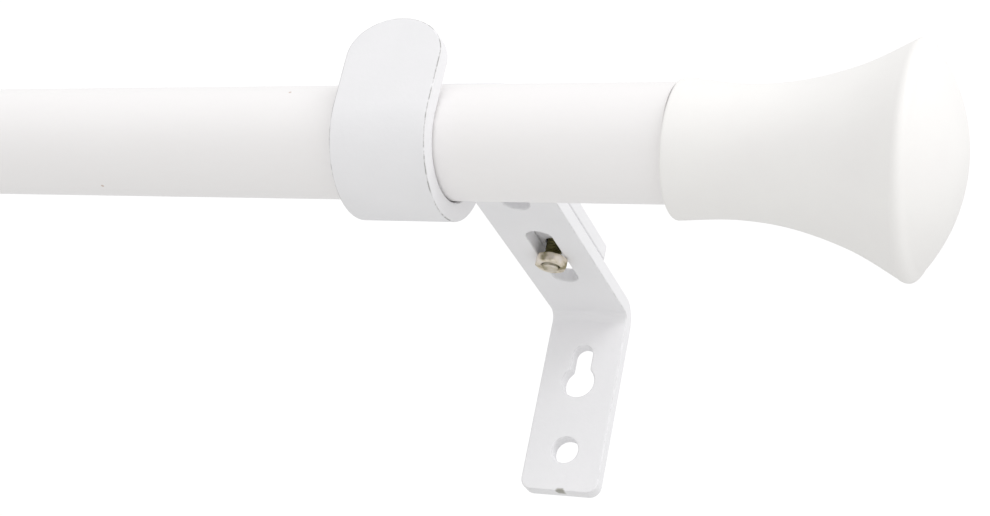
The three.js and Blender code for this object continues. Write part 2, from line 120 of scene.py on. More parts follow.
# Finials, studs and plugs, measured along a finial's own axis, which hangs low by the droop
DROOP = math.radians(3)
FINIAL_FLARE = 36.9
FINIAL_BASE_RADIUS = 11.1
FINIAL_WAIST_DROP = 0.7
FINIAL_RIM_RADIUS = 18.45
FINIAL_DOME = 6.5
FINIAL_BASE_EDGE = 0.4
FINIAL_RIM_ROUND = 1.8
FLARE_SHAPE = ((0.26, 0), (0.5, 0.1), (0.75, 0.43))  # shares of the length and of the rise from the waist
STUD_HOLE_EDGE = 0.3
STUD_RADIUS = 3
STUD_CHAMFER = 0.6
STUD_PITCH = 1
STUD_THREAD_DEPTH = 0.5
STUD_IN_FINIAL = 14
STUD_IN_PLUG = 14
PLUG_LENGTH = 18
PLUG_RIBS = 8
PLUG_RIB_HEIGHT = 0.7
PLUG_SLIT_WIDTH = 1
PLUG_SLIT_DEPTH = 10
PLUG_SLIT_WALL = 0.12  # over which a slit's walls go down
PLUG_SLIT_FLOOR = 0.4  # left over the bore
PLUG_EDGE = 0.3
PLUG_RIB_START = 0.45  # cosine at which a rib begins
PLUG_RIB_SLOPE = 0.3
PLUG_RIB_END = 0.6
SEATED = 0.05  # clearance between pieces pushed into each other

# Meshes
TUBE_STEPS = 160  # columns once round
BUSH_STEPS = 128
SCREW_STEPS = 96
NUT_STEPS = 144
STUD_STEPS = 64
PLUG_STEPS = 360
THREAD_STEPS = 8  # rows to each pitch
EASE_LIMIT = 0.3  # largest share of a side that a rounding takes
EASE_SUPPORT = 1.4  # how far along a side its flat begins, in roundings
SMOOTH_ANGLE = math.radians(38)
MERGE_DISTANCE = 0.0008 * MM
ROW_TOLERANCE = 1e-5


def span(node):
    """The lowest and highest corner of a CAD node, in millimetres."""
    low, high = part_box(node)
    return np.array(low) / MM, np.array(high) / MM


rod_low, rod_high = span("outer_tube")
ROD_Y = (rod_low[1] + rod_high[1]) / 2
ROD_Z = (rod_low[2] + rod_high[2]) / 2
TUBE_RADIUS = (rod_high[2] - rod_low[2]) / 2

END_TUBE = {"right": "outer_tube", "left": "inner_tube"}

node_body = {node: body for body, nodes in frame["record"]["behaviour"]["bodies"].items() for node in nodes}
node_slot = {row["node"]: row["material_slot"] for row in frame["record"]["subparts"]}

# ---- Materials ----------------------------------------------------------------------------------------


def linear(code):
    """An sRGB hex colour such as "#f4f1ec" as linear red, green and blue, with alpha 1."""
    srgb = np.array([int(code[i:i + 2], 16) for i in (1, 3, 5)]) / 255
    rgb = np.where(srgb <= 0.04045, srgb / 12.92, ((srgb + 0.055) / 1.055) ** 2.4)
    return (*rgb.tolist(), 1.0)


def per_metre(size):
    """The scale of a texture whose features are size millimetres across."""
    return 1 / (size * MM)


def add(tree, kind, values=None, links=None, **settings):
    """Adds one node: settings are its properties, values its sockets' constants and links what feeds them."""
    made = tree.nodes.new(kind)
    for name, value in settings.items():
        setattr(made, name, value)
    for socket, value in (values or {}).items():
        made.inputs[socket].default_value = value
    for socket, source in (links or {}).items():
        tree.links.new(source, made.inputs[socket])
    return made


MIX_A, MIX_B, MIX_RESULT = 6, 7, 2  # the colour sockets of a Mix node


def new_finish(name, **values):
    """A material with its shader's constants set: itself, its tree and the object's coordinates."""
    material = bpy.data.materials.new(name)
    material.use_nodes = True
    tree = material.node_tree
    shader = tree.nodes["Principled BSDF"]
    for socket, value in values.items():
        shader.inputs[socket.replace("_", " ")].default_value = value
    place = add(tree, "ShaderNodeTexCoord").outputs["Object"]
    return material, tree, place


def finished(material, colour, roughness, bump):
    """The material with its shader's colour, roughness and normal linked to these three nodes."""
    tree = material.node_tree
    shader = tree.nodes["Principled BSDF"]
    tree.links.new(colour.outputs[MIX_RESULT], shader.inputs["Base Color"])
    tree.links.new(roughness.outputs["Result"], shader.inputs["Roughness"])
    tree.links.new(bump.outputs["Normal"], shader.inputs["Normal"])
    return material


def powder_coat():
    """Polyester powder coat, cool white, sprayed on sheared steel bar and baked.

    The powder flows out to a satin skin with a fine orange peel. It pulls thin along the sheared edges,
    where the grey steel shows through in a broken line, and it is missing where the bar hung on its hook.
    """
    material, tree, place = new_finish("powder_coat_cool_white", IOR=1.5)
    cloud = add(tree, "ShaderNodeTexNoise", {"Scale": per_metre(14), "Detail": 3.0}, {"Vector": place})
    body = add(tree, "ShaderNodeMix",
               {MIX_A: linear("#f1f0f2"), MIX_B: linear("#e7e7e9")},
               {"Factor": cloud.outputs["Fac"]}, data_type="RGBA")

    # Grit caught in the coat: one small spot in some of the cells.
    cells = add(tree, "ShaderNodeTexVoronoi", {"Scale": per_metre(5)}, {"Vector": place})
    spot = add(tree, "ShaderNodeMapRange",
               {"From Min": 0.02, "From Max": 0.045, "To Min": 1.0, "To Max": 0.0},
               {"Value": cells.outputs["Distance"]})
    pick = add(tree, "ShaderNodeSeparateColor", {}, {"Color": cells.outputs["Color"]})
    chosen = add(tree, "ShaderNodeMath", {1: 0.86}, {0: pick.outputs["Red"]}, operation="GREATER_THAN")
    grit = add(tree, "ShaderNodeMath", {}, {0: spot.outputs["Result"], 1: chosen.outputs["Value"]},
               operation="MULTIPLY")
    gritty = add(tree, "ShaderNodeMix",
                 {MIX_B: linear("#c3bfba")},
                 {"Factor": grit.outputs["Value"], MIX_A: body.outputs[MIX_RESULT]}, data_type="RGBA")

    # Thin coat on the edges, broken up along their length.
    edge = add(tree, "ShaderNodeAttribute", attribute_name="edge")
    ragged = add(tree, "ShaderNodeTexNoise", {"Scale": per_metre(2.4), "Detail": 6.0, "Roughness": 0.72},
                 {"Vector": place})
    worn = add(tree, "ShaderNodeMapRange",
               {"From Min": 0.42, "From Max": 0.6, "To Min": 0.1, "To Max": 1.0},
               {"Value": ragged.outputs["Fac"]})
    thin = add(tree, "ShaderNodeMath", {}, {0: edge.outputs["Fac"], 1: worn.outputs["Result"]},
               operation="MULTIPLY")
    coated = add(tree, "ShaderNodeMix",
                 {MIX_B: linear("#8b8a87")},
                 {"Factor": thin.outputs["Value"], MIX_A: gritty.outputs[MIX_RESULT]}, data_type="RGBA")

    # The bare mark of the hanging hook.
    hung = add(tree, "ShaderNodeAttribute", attribute_name="hung")
    bare = add(tree, "ShaderNodeMapRange",
               {"From Min": 0.35, "From Max": 0.75, "To Min": 0.0, "To Max": 0.9},
               {"Value": hung.outputs["Fac"]})
    marked = add(tree, "ShaderNodeMix",
                 {MIX_B: linear("#98968c")},
                 {"Factor": bare.outputs["Result"], MIX_A: coated.outputs[MIX_RESULT]}, data_type="RGBA")

    grain = add(tree, "ShaderNodeTexNoise", {"Scale": per_metre(0.28), "Detail": 2.0}, {"Vector": place})
    sheen = add(tree, "ShaderNodeMapRange",
                {"From Min": 0.3, "From Max": 0.7, "To Min": 0.46, "To Max": 0.62},
                {"Value": grain.outputs["Fac"]})
    # Orange peel is about a millimetre across, and the powder's grain a quarter of that.
    peel = add(tree, "ShaderNodeTexNoise", {"Scale": per_metre(0.9), "Detail": 1.0}, {"Vector": place})
    fine = add(tree, "ShaderNodeBump", {"Strength": 0.55, "Distance": 0.012 * MM},
               {"Height": grain.outputs["Fac"]})
    bump = add(tree, "ShaderNodeBump", {"Strength": 0.6, "Distance": 0.03 * MM},
               {"Height": peel.outputs["Fac"], "Normal": fine.outputs["Normal"]})
    return finished(material, marked, sheen, bump)


def stoved_enamel():
    """Stoved enamel, warm white, rolled on thin steel tube.

    The wet paint levels to a semi-gloss skin with long shallow waves along the tube, faint warm clouds and
    an odd pinhole or grain of dust.
    """
    material, tree, place = new_finish("stoved_enamel_warm_white", IOR=1.5)
    stretch = add(tree, "ShaderNodeMapping", {"Scale": (0.25, 1.0, 1.0)}, {"Vector": place})
    cloud = add(tree, "ShaderNodeTexNoise", {"Scale": per_metre(16), "Detail": 3.0},
                {"Vector": stretch.outputs["Vector"]})
    body = add(tree, "ShaderNodeMix",
               {MIX_A: linear("#f6f4f4"), MIX_B: linear("#f0eeee")},
               {"Factor": cloud.outputs["Fac"]}, data_type="RGBA")
    cells = add(tree, "ShaderNodeTexVoronoi", {"Scale": per_metre(7)}, {"Vector": place})
    spot = add(tree, "ShaderNodeMapRange",
               {"From Min": 0.03, "From Max": 0.05, "To Min": 1.0, "To Max": 0.0},
               {"Value": cells.outputs["Distance"]})
    pick = add(tree, "ShaderNodeSeparateColor", {}, {"Color": cells.outputs["Color"]})
    chosen = add(tree, "ShaderNodeMath", {1: 0.55}, {0: pick.outputs["Green"]}, operation="GREATER_THAN")
    dust = add(tree, "ShaderNodeMath", {}, {0: spot.outputs["Result"], 1: chosen.outputs["Value"]},
               operation="MULTIPLY")
    dusty = add(tree, "ShaderNodeMix",
                {MIX_B: linear("#d2c0b6")},
                {"Factor": dust.outputs["Value"], MIX_A: body.outputs[MIX_RESULT]}, data_type="RGBA")
    film = add(tree, "ShaderNodeTexNoise", {"Scale": per_metre(1.1), "Detail": 2.0},
               {"Vector": stretch.outputs["Vector"]})
    gloss = add(tree, "ShaderNodeMapRange",
                {"From Min": 0.3, "From Max": 0.7, "To Min": 0.3, "To Max": 0.42},
                {"Value": film.outputs["Fac"]})
    bump = add(tree, "ShaderNodeBump", {"Strength": 0.5, "Distance": 0.02 * MM},
               {"Height": film.outputs["Fac"]})
    return finished(material, dusty, gloss, bump)


def cast_resin():
    """Polyester resin finial, cast, tumbled and sprayed matt warm white.

    Tumbling softens every edge, and the sprayed coat is matt with a very fine tooth and soft clouds.
    """
    material, tree, place = new_finish("cast_resin_matt_white", IOR=1.5)
    cloud = add(tree, "ShaderNodeTexNoise", {"Scale": per_metre(9), "Detail": 3.0}, {"Vector": place})
    body = add(tree, "ShaderNodeMix",
               {MIX_A: linear("#f5f4f2"), MIX_B: linear("#f0eeed")},
               {"Factor": cloud.outputs["Fac"]}, data_type="RGBA")
    tooth = add(tree, "ShaderNodeTexNoise", {"Scale": per_metre(0.35), "Detail": 3.0}, {"Vector": place})
    matt = add(tree, "ShaderNodeMapRange",
               {"From Min": 0.3, "From Max": 0.7, "To Min": 0.52, "To Max": 0.64},
               {"Value": tooth.outputs["Fac"]})
    swell = add(tree, "ShaderNodeTexNoise", {"Scale": per_metre(3.5), "Detail": 1.0}, {"Vector": place})
    fine = add(tree, "ShaderNodeBump", {"Strength": 0.5, "Distance": 0.01 * MM},
               {"Height": tooth.outputs["Fac"]})
    bump = add(tree, "ShaderNodeBump", {"Strength": 0.4, "Distance": 0.05 * MM},
               {"Height": swell.outputs["Fac"], "Normal": fine.outputs["Normal"]})
    return finished(material, body, matt, bump)


def moulded_nylon():
    """Natural white nylon, injection moulded in a spark-eroded tool.

    It is slightly translucent and waxy, with the tool's fine texture and faint flow clouds.
    """
    material, tree, place = new_finish(
        "moulded_nylon_white", IOR=1.53, Subsurface_Weight=0.12, Subsurface_Scale=1.5 * MM)
    flow = add(tree, "ShaderNodeTexNoise", {"Scale": per_metre(6), "Detail": 2.0}, {"Vector": place})
    body = add(tree, "ShaderNodeMix",
               {MIX_A: linear("#ecebe6"), MIX_B: linear("#e0ded7")},
               {"Factor": flow.outputs["Fac"]}, data_type="RGBA")
    spark = add(tree, "ShaderNodeTexNoise", {"Scale": per_metre(0.3), "Detail": 2.0}, {"Vector": place})
    waxy = add(tree, "ShaderNodeMapRange",
               {"From Min": 0.3, "From Max": 0.7, "To Min": 0.38, "To Max": 0.52},
               {"Value": spark.outputs["Fac"]})
    bump = add(tree, "ShaderNodeBump", {"Strength": 0.5, "Distance": 0.015 * MM},
               {"Height": spark.outputs["Fac"]})
    return finished(material, body, waxy, bump)


def yellow_zinc():
    """Zinc plate on steel, passivated yellow: pale straw with drifts of pink and green, duller in patches.

    The screw's shank and end are painted dark olive, as painted shade for the dark gap round them.
    """
    material, tree, place = new_finish("zinc_plate_yellow_passivate", Metallic=1.0)
    drift = add(tree, "ShaderNodeTexNoise", {"Scale": per_metre(2.2), "Detail": 2.0}, {"Vector": place})
    colours = add(tree, "ShaderNodeValToRGB", {}, {"Fac": drift.outputs["Fac"]})
    stops = colours.color_ramp.elements
    stops[0].position = 0.36
    stops[0].color = linear("#9c9373")
    stops[1].position = 0.68
    stops[1].color = linear("#efe7de")
    middle = stops.new(0.5)
    middle.color = linear("#e2d8c6")
    scratch = add(tree, "ShaderNodeTexNoise", {"Scale": per_metre(0.35), "Detail": 3.0}, {"Vector": place})
    dull = add(tree, "ShaderNodeMapRange",
               {"From Min": 0.3, "From Max": 0.7, "To Min": 0.3, "To Max": 0.5},
               {"Value": scratch.outputs["Fac"]})
    bump = add(tree, "ShaderNodeBump", {"Strength": 0.5, "Distance": 0.01 * MM},
               {"Height": scratch.outputs["Fac"]})
    # Painted shade: where the screw marks its shank and end, the colour is mixed to dark olive for the shade
    # in the gap round the screw.
    oiled = add(tree, "ShaderNodeAttribute", attribute_name="oiled")
    film = add(tree, "ShaderNodeMix",
               {MIX_B: linear("#676343")},
               {"Factor": oiled.outputs["Fac"], MIX_A: colours.outputs["Color"]}, data_type="RGBA")
    return finished(material, film, dull, bump)


def bright_zinc():
    """Bright zinc plate on spring and rolled-thread steel: bluish grey, brushed by tumbling in the barrel."""
    material, tree, place = new_finish("zinc_plate_bright", Metallic=1.0)
    drift = add(tree, "ShaderNodeTexNoise", {"Scale": per_metre(2.5), "Detail": 3.0}, {"Vector": place})
    body = add(tree, "ShaderNodeMix",
               {MIX_A: linear("#b4b5b8"), MIX_B: linear("#9b9b9c")},
               {"Factor": drift.outputs["Fac"]}, data_type="RGBA")
    tumbled = add(tree, "ShaderNodeTexNoise", {"Scale": per_metre(0.3), "Detail": 3.0}, {"Vector": place})
    dull = add(tree, "ShaderNodeMapRange",
               {"From Min": 0.3, "From Max": 0.7, "To Min": 0.28, "To Max": 0.46},
               {"Value": tumbled.outputs["Fac"]})
    bump = add(tree, "ShaderNodeBump", {"Strength": 0.5, "Distance": 0.008 * MM},
               {"Height": tumbled.outputs["Fac"]})
    return finished(material, body, dull, bump)


FINISHES = {
    "bracket_powder_coat": powder_coat(),
    "tube_enamel": stoved_enamel(),
    "finial_resin": cast_resin(),
    "white_plastic": moulded_nylon(),
    "yellow_zinc": yellow_zinc(),
    "spring_steel": bright_zinc(),
}

# ---- Meshes from grids --------------------------------------------------------------------------------


class Shell:
    """One piece's skin, gathered grid by grid in millimetres, with named values at its vertices."""

    def __init__(self, *value_names):
        self.points = []
        self.quads = []
        self.values = {name: [] for name in value_names}
        self.count = 0

    def grid(self, points, close_rows=False, close_columns=False, **values):
        """Adds a grid of points[row, column]; a closed direction joins its last line to its first."""
        rows, columns = points.shape[:2]
        index = self.count + np.arange(rows * columns).reshape(rows, columns)
        if close_rows:
            index = np.concatenate([index, index[:1]], 0)
        if close_columns:
            index = np.concatenate([index, index[:, :1]], 1)
        quads = np.stack([index[:-1, :-1], index[1:, :-1], index[1:, 1:], index[:-1, 1:]], -1)
        self.points.append(points.reshape(-1, 3))
        self.quads.append(quads.reshape(-1, 4))
        for name, store in self.values.items():
            store.append(np.broadcast_to(values.get(name, 0.0), (rows, columns)).reshape(-1))
        self.count += rows * columns


def make_piece(name, shell, node):
    """Makes the shell a closed, smooth mesh that stands for the CAD node, on its body and in its finish.

    Vertices that lie together are merged, faces left without area are dropped, and normals turn outwards.
    """
    mesh = bpy.data.meshes.new(name)
    mesh.from_pydata((np.concatenate(shell.points) * MM).tolist(), [], np.concatenate(shell.quads).tolist())
    for value_name, store in shell.values.items():
        attribute = mesh.attributes.new(value_name, "FLOAT", "POINT")
        attribute.data.foreach_set("value", np.concatenate(store).astype(np.float32))
    work = bmesh.new()
    work.from_mesh(mesh)
    bmesh.ops.remove_doubles(work, verts=work.verts, dist=MERGE_DISTANCE)
    bmesh.ops.dissolve_degenerate(work, edges=work.edges, dist=MERGE_DISTANCE)
    bmesh.ops.recalc_face_normals(work, faces=work.faces)
    work.to_mesh(mesh)
    work.free()
    mesh.shade_smooth()
    mesh.set_sharp_from_angle(angle=SMOOTH_ANGLE)
    mesh.materials.append(FINISHES[node_slot[node]])
    piece = bpy.data.objects.new(name, mesh)
    bpy.context.scene.collection.objects.link(piece)
    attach(piece, node_body[node])
    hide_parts(node)
    return piece


def circle(steps):
    """Angles once round, in radians, as a row."""
    return np.linspace(0, 2 * np.pi, steps, endpoint=False)[None, :]


def lying(along, radius, angle):
    """Points at a radius and angle round the rod's axis, along X."""
    along, radius, angle = np.broadcast_arrays(along, radius, angle)
    return np.stack([along, ROD_Y + radius * np.cos(angle), ROD_Z + radius * np.sin(angle)], -1)


def hanging(side, along, radius, angle):
    """Points at a radius and angle round a finial's axis, measured from where its plug is gripped.

    The axis leaves the rod's there and dips by the droop d: out = a cos d + u sin d and rise =
    u cos d - a sin d for a along it and u above it. The finial's foot touches the tube's end below.
    """
    hand = 1 if side == "right" else -1
    low, high = span(END_TUBE[side])
    foot = PLUG_LENGTH * math.sin(DROOP)
    gap = ((high[2] - low[2]) / 2 - foot) * math.tan(DROOP) + SEATED
    tube_end = high[0] if side == "right" else low[0]
    grip = tube_end + hand * (gap - PLUG_LENGTH * math.cos(DROOP))
    along, radius, angle = np.broadcast_arrays(along, radius, angle)
    above = radius * np.sin(angle)
    out = along * math.cos(DROOP) + above * math.sin(DROOP)
    rise = above * math.cos(DROOP) - along * math.sin(DROOP)
    return np.stack([grip + hand * out, ROD_Y + hand * radius * np.cos(angle), ROD_Z + rise], -1)


def upright(height, radius, angle, place):
    """Points at a radius and angle round a line along Z through place."""
    height, radius, angle = np.broadcast_arrays(height, radius, angle)
    return np.stack([radius * np.cos(angle), radius * np.sin(angle), height], -1) + np.array(place)


def eased(corners, radius, closed=True, steps=5):
    """A polygon with rounded corners, as an array of points.

    Each corner P between neighbours A and B becomes (1-t)^2 a + 2t(1-t) P + t^2 b for t from 0 to 1, where
    a and b lie on PA and PB at the rounding distance; one more point beside a and b keeps the sides flat.
    """
    points = np.array(corners, float)
    before, after = np.roll(points, 1, 0), np.roll(points, -1, 0)
    to_before, to_after = before - points, after - points
    length_before = np.linalg.norm(to_before, axis=1, keepdims=True)
    length_after = np.linalg.norm(to_after, axis=1, keepdims=True)
    cut_before = np.minimum(radius, EASE_LIMIT * length_before)
    cut_after = np.minimum(radius, EASE_LIMIT * length_after)
    unit_before, unit_after = to_before / length_before, to_after / length_after
    t = np.linspace(0, 1, steps)[None, :, None]
    a, b = points + cut_before * unit_before, points + cut_after * unit_after
    arc = (1 - t) ** 2 * a[:, None] + 2 * t * (1 - t) * points[:, None] + t ** 2 * b[:, None]
    first = points + EASE_SUPPORT * cut_before * unit_before
    last = points + EASE_SUPPORT * cut_after * unit_after
    rounded = np.concatenate([first[:, None], arc, last[:, None]], 1)
    if closed:
        return rounded.reshape(-1, 2)
    return np.concatenate([points[:1], rounded[1:-1].reshape(-1, 2), points[-1:]])


def smooth_step(value):
    """0 below 0, 1 above 1, and 3v^2 - 2v^3 between."""
    value = np.clip(value, 0, 1)
    return value * value * (3 - 2 * value)


def thread(height, angle, pitch, depth):
    """How far a thread's groove goes in: a triangle wave of depth that climbs one pitch in each turn."""
    turn = height / pitch - angle / (2 * np.pi)
    return depth * np.abs(2 * (turn - np.floor(turn)) - 1)


# ---- Bent flat bar ------------------------------------------------------------------------------------


def corner_end(half_width):
    """The right half of an end with a rounded corner: contour and outward normals, from middle to side.

    At angle a from 0 to 90 degrees: (w - r + r sin a, r - r cos a), measured in from the end.
    """
    angle = np.linspace(0, np.pi / 2, 10)
    normal = np.stack([np.sin(angle), -np.cos(angle)], 1)
    return np.array([half_width - BAR_CORNER, BAR_CORNER]) + BAR_CORNER * normal, normal


def oval_end(half_width):
    """The right half of an oval end: contour and outward normals, from tip to side.

    At angle a from 0 to 90 degrees: (w sin a, c - c cos a), where c is the crown.
    """
    angle = np.linspace(0, np.pi / 2, 28)
    contour = np.stack([half_width * np.sin(angle), TONGUE_CROWN - TONGUE_CROWN * np.cos(angle)], 1)
    normal = np.stack([TONGUE_CROWN * np.sin(angle), -half_width * np.cos(angle)], 1)
    return contour, normal / np.linalg.norm(normal, axis=1, keepdims=True)


def round_arc(centre, radius, start, stop, steps=13, inwards=False):
    """Part of a hole's right half: contour, and normals into the hole or, on a shoulder, away from it."""
    angle = np.radians(np.linspace(start, stop, steps))
    outwards = np.stack([np.cos(angle), np.sin(angle)], 1)
    return np.array(centre) + radius * outwards, (outwards if inwards else -outwards)


def slot_hole(centre, length, radius):
    """A slot along the bar with round ends, or a round hole where length is twice the radius."""
    reach = length / 2 - radius
    low = round_arc((0, centre - reach), radius, -90, 0)
    high = round_arc((0, centre + reach), radius, 0, 90)
    skip = 1 if reach < MERGE_DISTANCE else 0
    return np.concatenate([low[0], high[0][skip:]]), np.concatenate([low[1], high[1][skip:]])


def keyhole(centre):
    """A round hole with a narrower slot going up from it, and rounded shoulders where they meet."""
    across = KEYHOLE_SLOT_RADIUS + KEYHOLE_SHOULDER
    up = math.sqrt((KEYHOLE_RADIUS + KEYHOLE_SHOULDER) ** 2 - across ** 2)
    meet = math.degrees(math.atan2(up, across))
    runs = [
        round_arc((0, centre), KEYHOLE_RADIUS, -90, meet, 18),
        round_arc((across, centre + up), KEYHOLE_SHOULDER, meet + 180, 180, 7, inwards=True),
        round_arc((0, centre + KEYHOLE_RISE), KEYHOLE_SLOT_RADIUS, 0, 90),
    ]
    runs[1] = (runs[1][0][1:], runs[1][1][1:])
    return np.concatenate([run[0] for run in runs]), np.concatenate([run[1] for run in runs])


def bend(start, heading, runs, s, h):
    """Y and Z of places s along and h above the middle of a bar that is bent as its runs say.

    A run is a length and a signed radius, or None where it is straight. With L(a) = (-sin a, cos a), the
    middle line is start + s (cos a, sin a) on a straight and start + r (L(a) - L(a + s/r)) on an arc that
    begins at heading a; h is added along L.
    """
    def left(angle):
        return np.stack([-np.sin(angle), np.cos(angle)], -1)

    def ahead(angle):
        return np.stack([np.cos(angle), np.sin(angle)], -1)

    s, h = np.broadcast_arrays(s, h)
    start = np.array(start, float)
    heading = np.array(heading, float)
    placed = np.zeros(s.shape + (2,))
    begun = 0.0
    for length, radius in runs:
        gone = s - begun
        turned = gone / radius if radius else np.zeros_like(gone)
        if radius:
            middle = start + radius * (left(heading) - left(heading + turned))
            end = start + radius * (left(heading) - left(heading + length / radius))
        else:
            middle = start + gone[..., None] * ahead(heading)
            end = start + length * ahead(heading)
        here = (gone >= 0) | (begun == 0)
        placed = np.where(here[..., None], middle + h[..., None] * left(heading + turned), placed)
        heading = heading + (length / radius if radius else 0)
        start = end
        begun += length
    return placed


def stations(runs, holes, first, last):
    """Places along the bar that get a row of vertices: close on the bends, wide on the straights.

    Between a hole's two ends the hole's own points are the rows.
    """
    found = []
    begun = 0.0
    for length, radius in runs:
        count = math.ceil(length / (abs(radius) * math.radians(4.5) if radius else 3.0))
        found.append(begun + np.linspace(0, length, count + 1))
        begun += length
    places = np.concatenate(found)
    places = places[(places > first + EDGE_SUPPORT) & (places < last - EDGE_SUPPORT)]
    for _, _, grown in holes:
        low, high = grown[0, 1], grown[-1, 1]
        places = places[(places < low - EDGE_SUPPORT) | (places > high + EDGE_SUPPORT)]
        places = np.concatenate([places, grown[:, 1]])
    return np.unique(np.round(places, 6))


def bent_bar(x, half_width, start, heading, runs, near_end, far_end, holes, wear, worn_from=0,
             hook_mark=None):
    """A flat bar, sheared, punched and bent: its two faces and a rounded rim along each contour.

    Flat, its right half's face at row s reaches from the hole, or the middle, to the contour, both drawn
    in by the rim: u = inner(s) + v (outer(s) - inner(s)) for v from 0 to 1, mirrored for the left half.
    The rim is p - d n for contour point p, outward normal n and inset d, where d and the height go once
    round a quarter circle at either face. bend() then carries all of it to its place. wear is how thin
    the coat is on the rounded edges from the place worn_from onwards, and hook_mark a bare spot.
    """
    inset = COATED_EDGE + EDGE_SUPPORT
    length = sum(run[0] for run in runs)
    flip = np.array([1, -1])
    near, near_normal = near_end
    far, far_normal = far_end
    far = (np.array([0, length]) + far * flip)[::-1]
    far_normal = (far_normal * flip)[::-1]
    near_rows = near - inset * near_normal
    far_rows = far - inset * far_normal
    grown_holes = [(contour, normal, contour - inset * normal) for contour, normal in holes]
    middle = stations(runs, grown_holes, near_rows[-1, 1], far_rows[0, 1])
    sides = np.stack([np.full_like(middle, half_width), middle], 1)
    sides_normal = np.broadcast_to([1.0, 0.0], sides.shape)
    contour = np.concatenate([near, sides, far])
    normal = np.concatenate([near_normal, sides_normal, far_normal])
    outer = contour - inset * normal
    along = outer[:, 1]
    inner = np.zeros(len(along))
    for _, _, grown in grown_holes:
        rows = (along >= grown[0, 1] - ROW_TOLERANCE) & (along <= grown[-1, 1] + ROW_TOLERANCE)
        inner[rows] = np.interp(along[rows], grown[:, 1], grown[:, 0])

    v = np.linspace(0, 1, 7)[None, :]
    half_face = np.stack([
        inner[:, None] + v * (outer[:, :1] - inner[:, None]),
        np.broadcast_to(along[:, None], (len(along), v.size)),
    ], -1)
    mirror = np.array([-1, 1])

    quarter = np.linspace(0, np.pi / 2, 6)
    drawn = np.concatenate([[inset], COATED_EDGE * (1 - np.sin(quarter)), [0]])
    height = BAR / 2 - np.concatenate([[0], COATED_EDGE * (1 - np.cos(quarter)), [inset]])
    drawn = np.concatenate([drawn, drawn[::-1]])[:, None, None]
    height = np.concatenate([height, -height[::-1]])[:, None]
    on_edge = np.array(EDGE_WEAR + EDGE_WEAR[::-1])[:, None]

    shell = Shell("edge", "hung")

    def carry(flat, heights, closed=False, edge=0.0):
        heights = np.broadcast_to(heights, flat.shape[:-1])
        side = bend(start, heading, runs, flat[..., 1], heights)
        points = np.concatenate([x + flat[..., :1], side], -1)
        hung = 0.0
        if hook_mark is not None:
            reach = np.linalg.norm(flat - np.array(hook_mark), axis=-1)
            hung = np.clip(HANGING_MARK_REACH - reach, 0, 1) * (heights > -BAR / 4)
        shell.grid(points, close_columns=closed, edge=edge, hung=hung)

    for face in (BAR / 2, -BAR / 2):
        carry(half_face, face)
        carry(half_face * mirror, face)

    across = np.linspace(1, -1, 13)[1:-1]
    across_far = np.stack([across * far[-1, 0], np.full_like(across, far[-1, 1])], 1)
    across_near = np.stack([-across * near[0, 0], np.full_like(across, near[0, 1])], 1)
    loops = [(
        np.concatenate([contour, across_far, (contour * mirror)[::-1], across_near]),
        np.concatenate([
            normal,
            np.broadcast_to([0.0, 1.0], across_far.shape),
            (normal * mirror)[::-1],
            np.broadcast_to([0.0, -1.0], across_near.shape),
        ]),
    )]
    loops += [
        (np.concatenate([c, (c * mirror)[-2:0:-1]]), np.concatenate([n, (n * mirror)[-2:0:-1]]))
        for c, n, _ in grown_holes
    ]
    for loop, loop_normal in loops:
        thin = wear * smooth_step((loop[:, 1] - worn_from) / WEAR_FADE + 1)
        carry(loop[None] - drawn * loop_normal[None], height, closed=True, edge=on_edge * thin[None])
    return shell


def wall_bar(side):
    """The leg and arm of one bracket: up the wall, one bend, and out into the room."""
    node = f"{side}_wall_strip"
    low, high = span(node)
    middle_radius = BEND_RADIUS + BAR / 2
    outer_radius = BEND_RADIUS + BAR
    leg = high[2] - low[2] - outer_radius
    arm = high[1] - low[1] - outer_radius
    runs = [(leg, None), (middle_radius * np.pi / 2, middle_radius), (arm, None)]
    bent_length = leg + middle_radius * np.pi / 2 - outer_radius
    slot = (high[1] - low[1] - SLOT_WALL_MARGIN - SLOT_WEB - SLOT_END_MARGIN) / 2
    rear = bent_length + SLOT_WALL_MARGIN + slot / 2
    half_width = (high[0] - low[0]) / 2
    holes = [
        slot_hole(LOWER_HOLE_HEIGHT, 2 * LOWER_HOLE_RADIUS, LOWER_HOLE_RADIUS),
        keyhole(KEYHOLE_HEIGHT),
        slot_hole(rear, slot, SLOT_WIDTH / 2),
        slot_hole(rear + slot + SLOT_WEB, slot, SLOT_WIDTH / 2),
    ]
    shell = bent_bar(
        (low[0] + high[0]) / 2, half_width, (high[1] - BAR / 2, low[2]), np.pi / 2, runs,
        corner_end(half_width), corner_end(half_width), holes, WALL_BAR_WEAR, hook_mark=HANGING_MARK)
    make_piece(f"{side}_wall_bar", shell, node)


